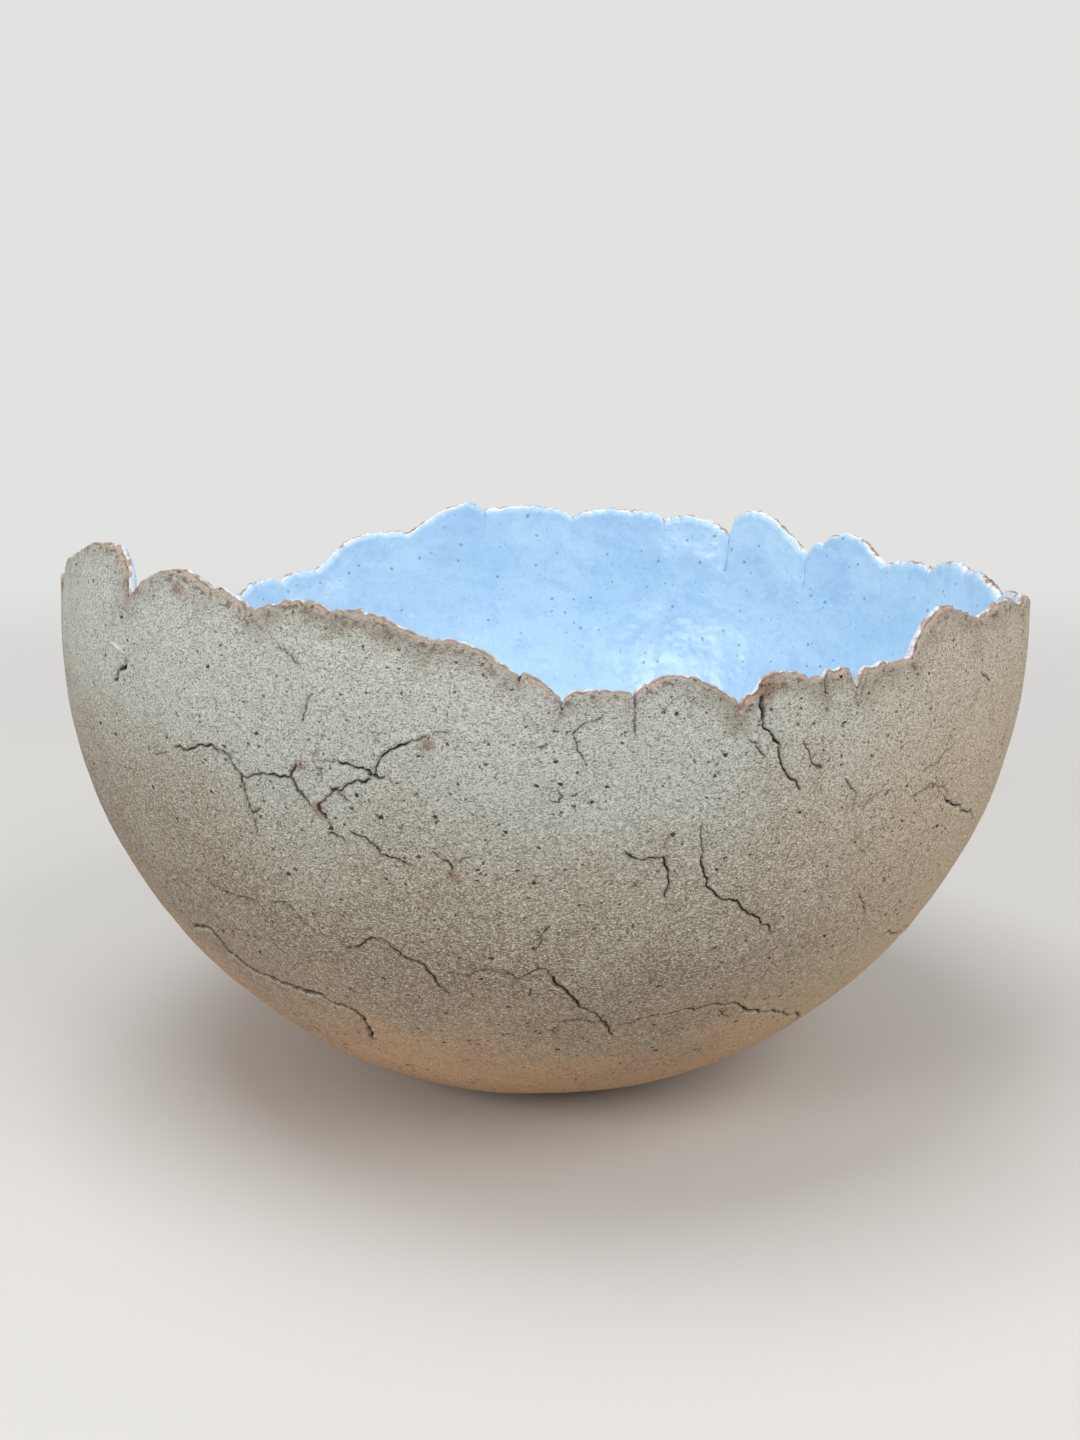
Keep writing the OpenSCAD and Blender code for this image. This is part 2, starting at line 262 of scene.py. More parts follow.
# cracks over the outside
# width in mm, darkness (below 0 a pale raised line), how far the lower side stands proud in mm,
# then bends as degrees round the bowl and degrees above its widest part
crackRoutes = [
    (0.22, 0.5, 0, (227.5, -7), (228.7, -6.7), (230, -6.3)),
    (0.45, 1, 0.3, (231.2, -5.7), (232.3, -5.5), (233.4, -5.7), (235.2, -4.9), (236.6, -4.7),
     (237.6, -5.1)),
    (0.3, 0.8, 0.2, (237.6, -5.1), (239, -5.8), (240.1, -7.3)),
    (0.48, 1, 0.1, (240.1, -7.1), (240.1, -8.9), (240.3, -9.8), (240.6, -11.2)),
    (0.25, 0.7, 0, (240.6, -11.2), (240.7, -12), (240.4, -13.6)),
    (0.38, 0.9, 0, (240.5, -11.3), (241.7, -10.4)),
    (0.34, 0.9, 0.3, (240.1, -7.3), (240.8, -7.5), (242, -7), (243.1, -6.9)),
    (0.52, 1, 0.4, (243.1, -6.9), (244.6, -7), (245.7, -6.8)),
    (0.65, 0.8, 0, (245.5, -6.9), (246, -6.2), (246.4, -5.5)),
    (0.7, 0.8, 0.3, (245.6, -6.8), (246.1, -7.3), (246.9, -8.6), (247.5, -9.1)),
    (0.28, 0.7, 0.2, (246.9, -8.7), (247.4, -9.2), (247.9, -9.8)),
    (0.6, 0.75, 0.3, (248.9, -8.9), (248.3, -9.4), (248.6, -9.9), (249.3, -10.7)),
    (0.3, 0.6, 0.1, (249.3, -10.7), (249.7, -11.6)),
    (0.36, 0.95, 0.2, (250.6, -7.7), (251.4, -7.2), (252.8, -6.4)),
    (0.6, 0.95, 0.2, (252.8, -6.4), (253.5, -6.6), (254.1, -6.2)),
    (0.75, 1, 0, (250, -7.6), (250.8, -7.7)),
    (0.3, 0.8, 0, (250.3, -7.7), (249.8, -8.2), (248.8, -9.1)),
    (0.3, 0.8, 0, (250.7, -7.8), (251.2, -8.1), (251.8, -8.6)),
    (0.3, 0.8, 0, (250.3, -7.7), (249.8, -7.3)),
    (0.48, 1, 0.1, (250.9, -4.7), (252, -5), (253.3, -5.2), (254, -5.4), (254.3, -5.9)),
    (1.3, 0.95, 0, (254, -5.8), (254.7, -5.8)),
    (0.24, 0.5, 0, (248.3, -4.9), (248.8, -5.6), (249.2, -6.9)),
    (0.22, 0.45, 0, (248.5, -4.9), (249.8, -4.8), (250.9, -4.7)),
    (0.4, 0.9, 0.2, (254.5, -5.8), (254.6, -5.1), (255.1, -4.3)),
    (0.45, 1, 0.35, (255.1, -4.3), (255.5, -3.8), (256.8, -3), (258.1, -2.4)),
    (0.26, 0.7, 0.2, (258.1, -2.4), (259.6, -1.9)),
    (0.22, 0.55, 0, (260, -1.7), (261, -1.5), (261.6, -1.6)),
    (0.5, 0.8, 0, (254.3, -5.9), (255.1, -6.1), (255.5, -5.8)),
    (0.22, 0.6, 0, (255.9, -6), (256.4, -6.7)),
    (0.5, 0.95, 0.2, (249.1, -12.3), (249.6, -12), (250.2, -12.3)),
    (0.28, 0.8, 0.1, (250.2, -12.3), (250.9, -12.8)),
    (0.32, 0.85, 0.2, (251.4, -11.6), (252.2, -12), (253, -12.1), (254, -13), (254.4, -13.8)),
    (0.4, 0.95, 0.25, (254.4, -13.8), (255.3, -14.1), (256.3, -14.3), (256.8, -14.6)),
    (0.24, 0.6, 0, (256.8, -14.6), (257.6, -14.9)),
    (0.26, 0.6, 0.1, (259.4, -13), (260.3, -13.8)),
    (0.45, 0.8, 0.2, (260.3, -13.8), (261.1, -14.3), (261.3, -15)),
    (0.2, 0.5, 0, (261.9, -14.2), (262.5, -13.5), (263.7, -13.2)),
    (0.22, 0.65, 0.15, (230, -20.2), (231.6, -21.4), (233.4, -21.6), (235.6, -21.8), (237.5, -21.8)),
    (0.26, 0.6, 0.1, (239.6, -21.4), (241.9, -21.1), (243.3, -22.8), (245.1, -24.6)),
    (0.9, 1, 0.3, (220.2, -30.1), (222.5, -29.4), (224.6, -28.7)),
    (1.15, 1, 0.4, (224.6, -28.7), (225.5, -28.9), (226, -30.4), (226.4, -32), (228.2, -33.2),
     (231.2, -34.2)),
    (1.05, 1, 0.55, (231.2, -34.2), (233.8, -34.5), (237.8, -34.7), (239.9, -34.6), (241.7, -35.4)),
    (0.85, 1, 0.4, (241.7, -35.4), (243.8, -35.7), (245.3, -36.4), (246, -37.8), (245.7, -39)),
    (0.85, 1, 0.2, (245.7, -39), (245.3, -40.4), (244.5, -43)),
    (0.45, 0.9, 0, (247.8, -25.4), (248.3, -25.9)),
    (0.32, 0.9, 0.2, (248.3, -25.9), (249.3, -25.5), (250.9, -24.3), (252.2, -23.8), (253.4, -24.3)),
    (0.42, 1, 0.35, (253.4, -24.3), (254.2, -25.3), (255.1, -26.3), (256.4, -26.5), (257.8, -28.4),
     (258.6, -30.1)),
    (0.3, 0.8, 0.1, (258.6, -30.1), (259.6, -31.1)),
    (0.22, 0.6, 0.2, (259.5, -27.7), (261.1, -27.9), (261.9, -28), (262.5, -27.4), (264.2, -27),
     (265.7, -27.1)),
    (0.24, 0.7, 0.3, (265.7, -27.1), (267.1, -28.4), (268.4, -27.5), (269.3, -26.9), (270.3, -26.9),
     (270.9, -27.9)),
    (0.6, 1, 0.35, (270.9, -27.9), (271, -28.5), (272.6, -30.5), (273.6, -31.7), (273.9, -32.5),
     (275.2, -33.4)),
    (0.36, 0.9, 0.2, (275.2, -33.4), (276.7, -34.8), (276.9, -35.4)),
    (1.1, 0.7, 0.1, (276.9, -35.4), (277.6, -36), (278.2, -37)),
    (0.5, 0.9, 0, (278.2, -37), (278.9, -38.5)),
    (0.22, 0.6, 0, (269.2, -25.9), (269.3, -26.9)),
    (0.36, 0.9, 0.2, (271.7, -35.5), (273.6, -35.2), (275.2, -35.4), (276.8, -35.5)),
    (0.2, 0.6, 0, (273.1, -33.2), (273.9, -32.7)),
    (0.3, 0.8, 0, (271.6, -36.5), (270.6, -37), (271.5, -37.7)),
    (0.3, 0.8, 0, (268.4, -29.7), (268.5, -30.3), (268.2, -31)),
    (0.35, 0.8, 0, (270.6, -21.2), (270.1, -21.7)),
    (0.7, 0.9, 0, (270.2, -21.6), (269.9, -22.1)),
    (0.22, 0.6, 0, (269.9, -22.1), (269.6, -22.6), (269.1, -24.4)),
    (0.25, 0.65, 0.2, (279.2, -36.5), (280.8, -36.1), (283, -35.3), (285.6, -34.9), (287.1, -34.3)),
    (0.4, 0.85, 0.3, (287.1, -34.3), (288.6, -34.9), (289.9, -34.3), (291.9, -34.5), (293.7, -34.6),
     (295.7, -35.8)),
    (0.75, 0.95, 0.3, (295.7, -35.8), (298.4, -37.3), (299.9, -38.3)),
    (0.5, 0.95, 0.2, (299.9, -38.3), (304.3, -39.5), (307.1, -41.4), (309.6, -42.4), (310.3, -42.2),
     (315.2, -45.2)),
    (0.22, 0.5, 0, (290, -33.2), (291.1, -32.9), (292.7, -32.8)),
    (0.35, 0.7, 0, (292.5, -35.7), (293.5, -36.9), (294.6, -37.6)),
    (0.26, 0.65, 0.1, (284.8, -10.6), (284.8, -12.2), (285, -13.9)),
    (0.42, 0.95, 0.25, (285, -13.9), (285.4, -15.7), (286, -16.5), (285.9, -17.4), (287, -18.3),
     (287.8, -19.1)),
    (0.46, 1, 0.3, (287.8, -19.1), (290, -19.9), (290.4, -20.5), (291.9, -21.4), (293.3, -22.9)),
    (0.36, 0.9, 0.1, (293.3, -22.9), (294.9, -24.2)),
    (0.45, 0.95, 0.35, (277.5, -13.1), (278.7, -13.8)),
    (0.28, 0.85, 0.25, (278.7, -13.8), (280.1, -13.8), (281.3, -13.9)),
    (0.6, 0.95, 0, (281.2, -13.8), (281.9, -15.6)),
    (0.34, 0.85, 0.1, (281.9, -15.6), (282, -16.4), (281.9, -18.3)),
    (0.2, 0.55, 0, (281.6, -11.8), (281.3, -13)),
    (0.24, 0.6, 0, (282.3, -19.1), (283, -19.4)),
    (1.4, 1, 0.2, (289.7, 1.4), (289.7, 0.2), (289.9, -1)),
    (0.6, 1, 0.2, (289.9, -1), (290.3, -1.9), (290.8, -2.2), (291.2, -3), (291.9, -3.5)),
    (0.46, 1, 0.25, (291.9, -3.5), (291.9, -4.6), (292.4, -5.8), (293.2, -6.8), (294.7, -8.2)),
    (0.26, 0.75, 0, (288.1, -0.5), (288.5, -1.4), (288.5, -2.2)),
    (0.26, 0.75, 0, (288.6, -2.7), (289.8, -3.8), (290.4, -4.4)),
    (0.22, 0.6, 0, (290.7, -3.6), (291.2, -3.4)),
    (0.28, 0.85, 0.1, (294.4, -3.3), (295.4, -5.3), (296, -5.9), (296.8, -6.1)),
    (0.24, 0.65, 0.1, (299.8, -7.6), (300.7, -8.7), (301.5, -9.8), (301.5, -11.1)),
    (0.22, 0.6, 0.1, (302.7, -11.1), (303.7, -10.3), (305.1, -9.7)),
    (0.75, 0.9, 0, (305.5, -10.2), (306.1, -9.7)),
    (0.22, 0.6, 0.1, (309.3, -10.9), (311.4, -10.7), (315.3, -10.9), (316.9, -12.1)),
    (0.6, 1, 0.2, (316.2, -12.4), (318, -13.2), (321, -14.2)),
    (0.45, 0.95, 0.2, (321, -14.2), (323.1, -15.5), (328.2, -18.4)),
    (0.26, 0.55, 0.1, (310.6, -8.8), (312.4, -8.2), (313.9, -7.2), (316, -6.3)),
    (0.9, -1, 0, (319.4, 6.8), (320.1, 5.6), (320.3, 4.4), (320.5, 3.6), (320.1, 2.9)),
    (0.55, 0.95, 0.1, (320.1, 2.8), (320.7, 1.2), (320.9, -0.2), (322.9, -1.1)),
    (0.22, 0.5, 0, (323.7, -2.2), (324.8, -5)),
    (0.22, 0.6, 0, (307.7, 2.9), (307.9, 0.8)),
    (0.3, 0.65, 0, (304, 3), (304.6, 1.6)),
    (0.4, 0.8, 0.35, (316.6, -30.6), (324.6, -32.8), (331.4, -34.4), (332, -33.4)),
    (0.3, 0.7, 0.15, (306.1, -21.5), (307.9, -23.3), (309.1, -25.2), (309.5, -26.4)),
    (0.42, 0.85, 0, (296.6, 1.6), (296.8, 0.7), (296.7, -0.3)),
    (0.9, 0.9, 0, (296.6, -0.5), (296.9, -0.7)),
    (0.24, 0.7, 0, (297.5, 2.3), (297.7, 1.1)),
    (0.3, -0.8, 0, (277.9, 1.5), (278, 0.3), (277.9, -0.2)),
    (0.3, 0.85, 0, (277.9, -0.2), (277.9, -0.9), (278, -1.6)),
    (0.24, 0.7, 0.1, (271.2, 0.7), (271.1, -0.4), (270.6, -1.7)),
    (0.3, 0.75, 0, (270.5, -2.1), (269.7, -2.9), (269.3, -2.6)),
    (0.38, 0.85, 0, (268.4, -0.3), (269.2, -0.7), (270, -1.1)),
    (0.3, 0.8, 0, (275, 0), (274.1, -0.5)),
    (0.26, 0.7, 0, (273.8, -0.5), (273.1, -0.8), (272.5, -1.9), (272.8, -3), (273.4, -3.9)),
    (0.2, 0.45, 0.15, (270.6, -6.8), (271.2, -6.7), (271.6, -7.3), (271.2, -7.9), (270.6, -7.9),
     (270.3, -7.3), (270.6, -6.8)),
    (0.95, -1, 0, (221.2, 3.4), (222.4, 3), (223.8, 2.5)),
    (0.85, 0.95, 0.3, (224, 2.3), (224, 1.5), (222.7, 0.8)),
    (0.85, 0.95, 0.3, (222.7, 0.8), (222.2, -0.2), (221.5, -0.4)),
    (0.28, 0.65, 0, (240.9, 8.6), (242.1, 7.6), (243.5, 6.7), (244.7, 5.8), (246.1, 4.7), (247.4, 3.8)),
    (0.26, 0.65, 0, (248.7, 1.3), (248, 0.3), (247.7, -0.6), (247.6, -1.4)),
    (0.5, -1, 0, (230.3, 10.8), (231, 9.9), (232.3, 8.7)),
    (0.4, -0.9, 0, (231.3, 10.7), (233.1, 9.6)),
    (0.5, -0.9, 0.3, (209.6, 10.9), (207.6, 10), (207, 8.9)),
    (0.26, 0.5, 0.2, (207, 8.9), (206.6, 7.1)),
    # round the back and the sides
    (0.5, 0.95, 0.3, (352, -14), (355.5, -15.5), (357, -18), (361, -19.4), (364.6, -19),
     (368, -21.5), (370.4, -25)),
    (0.3, 0.8, 0.2, (361, -19.4), (362, -22.6), (361.2, -25.6)),
    (0.5, 1, 0.35, (388, -29), (393, -28), (398.6, -30.2), (403, -30), (408, -32.6), (411, -36.5)),
    (0.35, 0.8, 0.2, (403, -30), (405.8, -27.4), (410, -26.2)),
    (0.4, 0.9, 0.25, (404.8, 6), (405.4, 3), (404.6, 0), (406.6, -3.4), (407, -6.6)),
    (0.45, 0.95, 0.3, (430, -8.5), (434.4, -7.4), (438.6, -8.6), (441.6, -11.6), (446.4, -12.6),
     (449, -15.6)),
    (0.5, 0.95, 0.25, (464, -24), (468.6, -23), (473, -25.4), (476, -24.6), (481.6, -27.6),
     (484.4, -31.6)),
    (0.3, 0.8, 0.2, (473, -25.4), (474.4, -29), (473.4, -32)),
    (0.36, 0.9, 0.2, (487.8, -3), (488.6, -5.2), (491.6, -7.6), (492, -10.4)),
    (0.5, 0.95, 0.3, (504, -12), (509, -10.6), (514.4, -12), (518, -11), (523.6, -14), (525, -17.6)),
    (0.42, 0.9, 0.3, (538, -28), (542.4, -26.6), (548, -28.6), (552.6, -28), (556.6, -31)),
    (0.3, 0.7, 0.1, (559.6, 4.4), (560.4, 1.4), (562.6, -1.2), (562, -4)),
]
crackSet = {
    "seed": 7,
    "jitter": 0.17,  # how far a stretch wanders, as a share of its length
    "finest": 0.9,  # mm, the longest stretch that isn't split
    "sample": 0.12,  # mm between the points along a crack
    "swell": (0.5, 2.2),  # how much the width varies, and over how many mm
    "taper": (0.55, 2.0),  # share of the width at an end, and how fast the rest comes back
    "fade": (0.7, 2.0),  # the same for the darkness
    "stepEnd": 3.0,  # mm from an end to the full step
    "tearLength": (1.2, 5.5),  # hairlines below the tears, in mm
    "tearWidth": (0.24, 0.42),
    "tearTone": (0.6, 0.9),
    "tearStep": 0.1,
    "tearSway": 0.5,  # degrees
    "tracedFrom": 197,  # between these angles the hairlines are in the list above
    "tracedTo": 343,
}


def onSphere(azimuth, latitude):
    a, l = math.radians(azimuth), math.radians(latitude)
    return Vector((math.cos(l) * math.cos(a), math.cos(l) * math.sin(a), math.sin(l))) * outerR + middle


def pointTree(places):
    tree = KDTree(len(places))
    for i, place in enumerate(places):
        tree.insert(place, i)
    tree.balance()
    return tree


def tearHairlines(s):
    chance = random.Random(s["seed"] + 1)
    routes = []
    for i in rimTears:
        az, top = math.degrees(rimAngles[i]), math.degrees(rimLat[i])
        if s["tracedFrom"] < az < s["tracedTo"]:
            continue
        reach = math.degrees(chance.uniform(*s["tearLength"]) * mm / outerR)
        sway = [chance.uniform(-s["tearSway"], s["tearSway"]) for _ in range(3)]
        bends = [(az, top)] + [(az + sway[k], top - reach * (k + 1) / 3) for k in range(3)]
        width, tone = chance.uniform(*s["tearWidth"]), chance.uniform(*s["tearTone"])
        routes.append((width, tone, s["tearStep"], *bends))
    return routes


def roughen(points, chance, s):
    # split each stretch in two and push its middle sideways, until the stretches are short
    finest = s["finest"] * mm
    while max((b - a).length for a, b in zip(points, points[1:])) > finest:
        finer = [points[0]]
        for a, b in zip(points, points[1:]):
            if (b - a).length > finest:
                half = (a + b) / 2
                aside = (half - middle).normalized().cross(b - a) * chance.uniform(-s["jitter"], s["jitter"])
                finer.append(middle + (half + aside - middle).normalized() * outerR)
            finer.append(b)
        points = finer
    return points


def traceCracks(routes, s):
    # points along every crack, each with its half width, darkness and step, and its sideways direction
    chance = random.Random(s["seed"])
    places, facts, sides = [], [], []
    for width, tone, step, *bends in routes:
        line = roughen([onSphere(a, l) for a, l in bends], chance, s)
        lengths = [(b - a).length / mm for a, b in zip(line, line[1:])]
        total, run, phase = sum(lengths), 0.0, chance.uniform(0, 100)
        for a, b, length in zip(line, line[1:], lengths):
            side = (a - middle).normalized().cross((b - a).normalized())
            count = max(1, round(length / s["sample"]))
            for k in range(count):
                at = run + length * k / count
                end = min(at, total - at)
                swell = 1 + s["swell"][0] * noise.noise(Vector((at / s["swell"][1], phase, 0)))
                taper = min(1, s["taper"][0] + end / s["taper"][1])
                fade = min(1, s["fade"][0] + end / s["fade"][1])
                places.append(a.lerp(b, k / count))
                facts.append((width / 2 * swell * taper, tone * fade, step * min(1, end / s["stepEnd"])))
                sides.append(side)
            run += length
    return pointTree(places), np.array(places), np.array(facts), np.array(sides)


crackTree, crackPlaces, crackFacts, crackSides = traceCracks(crackRoutes + tearHairlines(crackSet), crackSet)
rimTree = pointTree(centre + outerR * np.stack(
    [np.cos(rimLat) * np.cos(rimAngles), np.cos(rimLat) * np.sin(rimAngles), np.sin(rimLat)], axis=1))
print("cracks", len(crackRoutes), "with", len(crackPlaces), "points")

# the wall's section
wallSet = {
    # mm the broken face rises, from its outer corner to the crest, round the bowl
    "bevel": ((20, 1.0), (60, 0.9), (90, 1.0), (120, 0.9), (150, 1.0), (180, 0.9), (200, 1.0), (206, 0.7),
              (214, 0.9), (222, 1.2), (228, 1.2), (236, 1.7), (243, 1.3), (247, 0.9), (252, 1.3), (257, 0.8),
              (262, 0.7), (267, 1.2), (271, 0.9), (276, 0.8), (279, 0.6), (286, 0.6), (290, 1.8), (296, 1.1),
              (304, 1.3), (310, 1.0), (316, 0.9), (322, 0.8), (340, 0.9)),
    "bevelVary": ((0.5, 9.0, 41.0), (0.3, 2.4, 43.0)),
    "bevelLeast": 0.35,
    "crest": 1.2,  # mm the crest stands in from the outside
    "crestVary": ((0.8, 7.0, 49.0), (0.4, 2.6, 51.0)),
    "crestLeast": 0.4,
    "crestCurve": 0.9,
    "rimWall": 2.8,  # mm of wall at the edge, thinner than below
    "thinReach": 16.0,
    "lipIn": 1.8,  # mm over which the inside rounds over to the crest
    "stretchReach": 75.0,  # how far below the rim the rows give way to the tears
    "footRound": 7.0,  # the foot's edge is rubbed round this far, and lifts by so much
    "footLift": 0.45,
    "footFlat": (0.4, 9.0),  # mm above the ground where the wall's unevenness starts and is full
    "floorRound": 16.0,
    "floorLift": 1.2,
    # a wall pressed by hand: mm in or out, over how many mm, and where its noise starts
    "pressed": ((0.8, 55, (3.1, 0, 0)), (0.42, 22, (0, 7.7, 0))),
}
bevelMm = ringBends(wallSet["bevel"]) + varied(wallSet["bevelVary"])
bevelOf = ringLookup(np.maximum(bevelMm, wallSet["bevelLeast"]) * mm)
crestIn = ringLookup((wallSet["crest"] + varied(wallSet["crestVary"])) * mm)

meanRim = float(rimTable.mean())
latMean = math.asin((meanRim - centreZ) / outerR)
latFoot = -math.acos(footR / outerR)
floorR = math.sqrt(innerR ** 2 - (centreZ - floorZ) ** 2)
latFloor = -math.acos(floorR / innerR)
outArc = footR + outerR * (latMean - latFoot) - ringBends(wallSet["bevel"]).mean() * mm
inArc = floorR + innerR * (latMean - latFloor)


def smooth(t):
    t = np.clip(t, 0, 1)
    return t * t * (3 - 2 * t)


def stretch(at, end, newEnd):
    # distances along a section, lengthened near its end so that it ends at newEnd
    reach = wallSet["stretchReach"] * mm
    return at + (newEnd - end) * smooth((at - (end - reach)) / reach)


def wallAt(az, v):
    # a point of the shell: v runs 0 to 1 up the outside, to 2 over the broken edge,
    # and to 3 down the inside to the middle of the floor
    s, rim, drop = wallSet, rimHeight(az), bevelOf(az)
    latTop = np.arcsin((rim - centreZ) / outerR)
    crest = np.maximum(crestIn(az), s["crestLeast"] * mm)
    arc = stretch(np.clip(v, 0, 1) * outArc, outArc, footR + outerR * (latTop - latFoot) - drop)
    turn = np.clip(v - 1, 0, 1) * math.pi / 2
    lat = latFoot + (arc + drop * np.sin(turn) - footR) / outerR
    deep = crest * (1 - np.cos(turn)) ** s["crestCurve"]
    rOut = np.where(arc < footR, arc, (outerR - deep) * np.cos(lat))
    edge = np.clip(1 - np.abs(arc - footR) / (s["footRound"] * mm), 0, 1)
    zOut = np.where(arc < footR, 0, centreZ + (outerR - deep) * np.sin(lat))
    zOut = zOut + np.where(v <= 1, s["footLift"] * mm * edge * edge, 0)  # the foot's edge is rubbed round

    fullIn = floorR + innerR * (latTop - latFloor)
    arcIn = stretch((1 - np.clip(v - 2, 0, 1)) * inArc, inArc, fullIn)
    below = fullIn - arcIn
    lip = np.clip(below / (s["lipIn"] * mm), 0, 1)
    thick = s["rimWall"] * mm + (wall - s["rimWall"] * mm) * smooth(below / (s["thinReach"] * mm))
    deepIn = crest + (thick - crest) * np.sqrt(1 - (1 - lip) ** 2)
    latIn = latFloor + (arcIn - floorR) / innerR
    rIn = np.where(arcIn < floorR, arcIn, (outerR - deepIn) * np.cos(latIn))
    edge = np.clip(1 - np.abs(arcIn - floorR) / (s["floorRound"] * mm), 0, 1)
    zIn = np.where(arcIn < floorR, floorZ, centreZ + (outerR - deepIn) * np.sin(latIn))
    zIn = zIn + s["floorLift"] * mm * edge * edge

    r, z = np.where(v > 2, rIn, rOut), np.where(v > 2, zIn, zOut)
    r = r + rimLean(az) * np.exp(-np.maximum(rim - z, 0) / (rimSet["leanReach"] * mm))
    return np.stack([r * np.cos(az), r * np.sin(az), z], axis=-1)


def handMade(points):
    # the slow unevenness of a wall pressed out by hand, the same for both of its faces
    result = np.zeros(len(points))
    for i, p in enumerate(points):
        out = Vector(p - centre).normalized() * outerR
        for size, over, start in wallSet["pressed"]:
            result[i] += size * mm * noise.noise(out / (over * mm) + Vector(start))
    return result


def awayFromFoot(points):
    # 0 on the foot, so that it stays flat, and 1 a little way up
    low, full = wallSet["footFlat"]
    return smooth((points[:, 2] - low * mm) / (full * mm))


def grain(p, rows):
    # roughness at one place: each row has its height and its size in mm
    return sum(height * noise.noise(p / (size * mm)) for height, size in rows)


longEdge = 1.45  # an edge this many times as long as it should be is halved
anyLength = 1.0  # metres, so no edge is too long


def spinSection(rows, shape, steps, closed):
    # a body of revolution from the places of its rows, each vertex keeping its own
    bm = bmesh.new()
    layer = bm.verts.layers.float.new("row")
    line = []
    for v, p in zip(rows, shape(np.zeros(len(rows)), np.array(rows))):
        vert = bm.verts.new(p)
        vert[layer] = v
        line.append(vert)
    edges = [bm.edges.new(pair) for pair in zip(line, line[1:])]
    if closed:
        edges.append(bm.edges.new((line[-1], line[0])))
    bmesh.ops.spin(bm, geom=line + edges, axis=(0, 0, 1), angle=2 * math.pi, steps=steps, use_merge=True)
    bmesh.ops.remove_doubles(bm, verts=bm.verts, dist=0.001 * mm)
    settle(bm, layer, shape)
    return bm, layer


def settle(bm, layer, shape):
    # put every vertex back on the shape for its own angle and row
    verts = list(bm.verts)
    az = np.array([math.atan2(v.co.y, v.co.x) for v in verts])
    for vert, p in zip(verts, shape(az, np.array([v[layer] for v in verts]))):
        vert.co = p


def refine(bm, layer, shape, target, rounds):
    # halve the edges that are long for where they lie
    for _ in range(rounds):
        long = []
        for e in bm.edges:
            a, b = e.verts
            if e.calc_length() > longEdge * target((a.co + b.co) / 2, (a[layer] + b[layer]) / 2):
                long.append(e)
        if not long:
            break
        bmesh.ops.subdivide_edges(bm, edges=long, cuts=1, use_grid_fill=True)
        settle(bm, layer, shape)


def finestNear(tree, co, table, inset=0.0):
    # the edge length wanted this far from the nearest point of a tree
    distance = tree.find(co)[2] / mm - inset
    for within, length in table:
        if distance < within:
            return length * mm
    return anyLength


def closeMesh(bm, layer, name):
    whole = bm.faces.layers.int.new("whole")
    for i, face in enumerate(bm.faces):
        face[whole] = i
    bmesh.ops.triangulate(bm, faces=bm.faces)
    crossed = [e for e in bm.edges if len(e.link_faces) > 2]
    while crossed:
        # two faces were cut along one line, so one of them is cut from its middle instead
        first = crossed[0].link_faces[0][whole]
        halves = [face for face in crossed[0].link_faces if face[whole] == first]
        joined = bmesh.ops.dissolve_faces(bm, faces=halves)["region"]
        for vert in bmesh.ops.poke(bm, faces=joined)["verts"]:
            vert[layer] = sum(e.other_vert(vert)[layer] for e in vert.link_edges) / len(vert.link_edges)
        crossed = [e for e in bm.edges if len(e.link_faces) > 2]
    bmesh.ops.recalc_face_normals(bm, faces=bm.faces)
    mesh = bpy.data.meshes.new(name)
    rows = np.array([v[layer] for v in bm.verts])
    bm.to_mesh(mesh)
    bm.free()
    mesh.polygons.foreach_set("use_smooth", np.ones(len(mesh.polygons), dtype=bool))
    print(name, len(mesh.vertices), "vertices", len(mesh.polygons), "triangles")
    return mesh, rows


def readPoints(mesh, what):
    flat = np.zeros(len(mesh.vertices) * 3, dtype=np.float32)
    (mesh.vertices if what == "co" else mesh.vertex_normals).foreach_get(what, flat)
    return flat.reshape(-1, 3).astype(float)


def writePoints(mesh, co):
    mesh.vertices.foreach_set("co", co.astype(np.float32).ravel())
    mesh.update()


def writeMarks(mesh, marks):
    # what the materials read: one number, or one direction, for each vertex
    for name, values in marks.items():
        kind, key = ("FLOAT_VECTOR", "vector") if values.ndim == 2 else ("FLOAT", "value")
        mesh.attributes.new(name, kind, "POINT").data.foreach_set(key, values.astype(np.float32).ravel())


